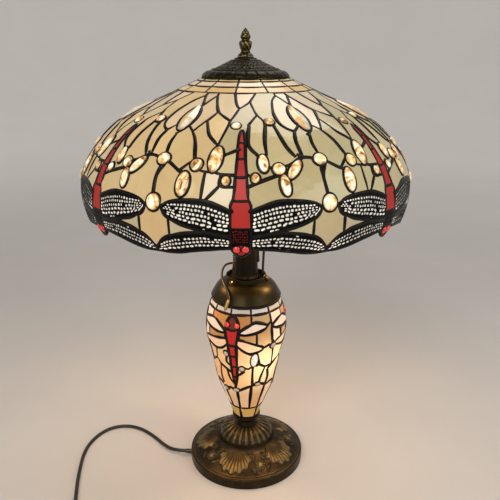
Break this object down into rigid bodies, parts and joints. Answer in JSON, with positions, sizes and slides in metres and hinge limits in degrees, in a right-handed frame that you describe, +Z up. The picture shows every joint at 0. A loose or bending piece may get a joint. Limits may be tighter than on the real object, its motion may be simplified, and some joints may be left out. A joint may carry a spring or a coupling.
{
  "type": "stained glass table lamp",
  "caption": "Leaded glass dome shade with dragonfly pattern over a lit leaded glass vase on a cast bronze-finish foot, with pull chains and a mains cord.",
  "frame": {"origin": "centre of the foot's underside, on the table", "axes": "+Z up along the centre rod, -Y towards the lamp's front, where a dragonfly of the shade faces the viewer, +X to the viewer's right"},
  "size_m": [0.5018, 0.4582, 0.6688],
  "materials": {
    "foot_bronze": "antique bronze, satin, rubbed",
    "cap_bronze": "antique bronze, glossy",
    "sleeve_bronze": "dark antique bronze, glossy",
    "finial_bronze": "antique bronze, rubbed",
    "pull_bronze": "antique bronze, glossy",
    "felt": "felt",
    "steel": "zinc plated",
    "brass": "satin",
    "socket_black": "matte",
    "aluminium": "rolled",
    "bulb_glass": "frosted",
    "cord": "smooth",
    "cord_plastic": "smooth",
    "pull_cord": "braided",
    "amber_glass": "opalescent",
    "cream_glass": "opalescent",
    "vase_glass": "opalescent",
    "wing_glass": "opalescent",
    "red_glass": "opaque",
    "ruby_glass": "polished",
    "jewel_glass": "polished, rippled",
    "patina": "black patina"
  },
  "bodies": {
    "lamp": {"base_felt": "felt", "base_foot": "foot_bronze", "base_washer": "steel", "bulb_screw_bases": "aluminium", "bulbs": "bulb_glass", "cap_spider": "brass", "centre_rod": "steel", "chain_nozzles": "brass", "cluster_body": "sleeve_bronze", "cluster_cap": "sleeve_bronze", "collar_screws": "brass", "cord_relief": "cord_plastic", "finial_stud": "steel", "mains_cord": "cord", "mains_cord_coil": "cord", "mains_cord_tail": "cord", "neck_sleeve": "sleeve_bronze", "neck_spacer": "brass", "night_light_bracket": "brass", "night_light_bulb": "bulb_glass", "night_light_lead": "cord", "night_light_pull": "brass", "night_light_pull_cord": "pull_cord", "night_light_socket": "socket_black", "plug_blades": "brass", "plug_body": "cord_plastic", "pull_cord_eyelet": "brass", "riser_rod": "steel", "rod_coupling": "brass", "rod_nuts": "steel", "shade_wheel": "brass", "socket_arms": "brass", "sockets": "brass", "vase_bottom_row": "amber_glass", "vase_cap": "cap_bronze", "vase_dragonfly_bodies": "red_glass", "vase_field_panels": "vase_glass", "vase_leading": "patina", "vase_lower_panels": "cream_glass", "vase_seat": "cap_bronze", "vase_top_row": "wing_glass"},
    "shade": {"shade_top_ring": "brass", "shade_brick_rows": "amber_glass", "shade_upper_panels": "cream_glass", "shade_middle_panels": "cream_glass", "shade_rim_panels": "cream_glass", "shade_wing_panels": "wing_glass", "wing_filigree": "patina", "dragonfly_bodies": "red_glass", "dragonfly_eyes": "ruby_glass", "round_jewels": "jewel_glass", "oval_jewels": "jewel_glass", "leaf_jewels": "jewel_glass", "shade_leading": "patina", "shade_rim_wire": "patina", "heat_cap": "cap_bronze", "finial_washer": "cap_bronze"},
    "finial": {"finial": "finial_bronze"},
    "left_pull": {"left_pull_chain": "pull_bronze"},
    "right_pull": {"right_pull_chain": "pull_bronze"}
  },
  "joints": [
    {"name": "shade_lift", "type": "slide", "parent": "lamp", "child": "shade", "axis": [0, 0, 1], "range_m": [0, 0.06]},
    {"name": "finial_turn", "type": "hinge", "parent": "shade", "child": "finial", "pos_m": [0, 0, 0.64], "axis": [0, 0, 1], "continuous": true},
    {"name": "left_chain_pull", "type": "slide", "parent": "lamp", "child": "left_pull", "axis": [0, 0, -1], "range_m": [0, 0.006], "stiffness_N_per_m": 400, "springref_m": -0.001},
    {"name": "right_chain_pull", "type": "slide", "parent": "lamp", "child": "right_pull", "axis": [0, 0, -1], "range_m": [0, 0.006], "stiffness_N_per_m": 400, "springref_m": -0.001}
  ]
}
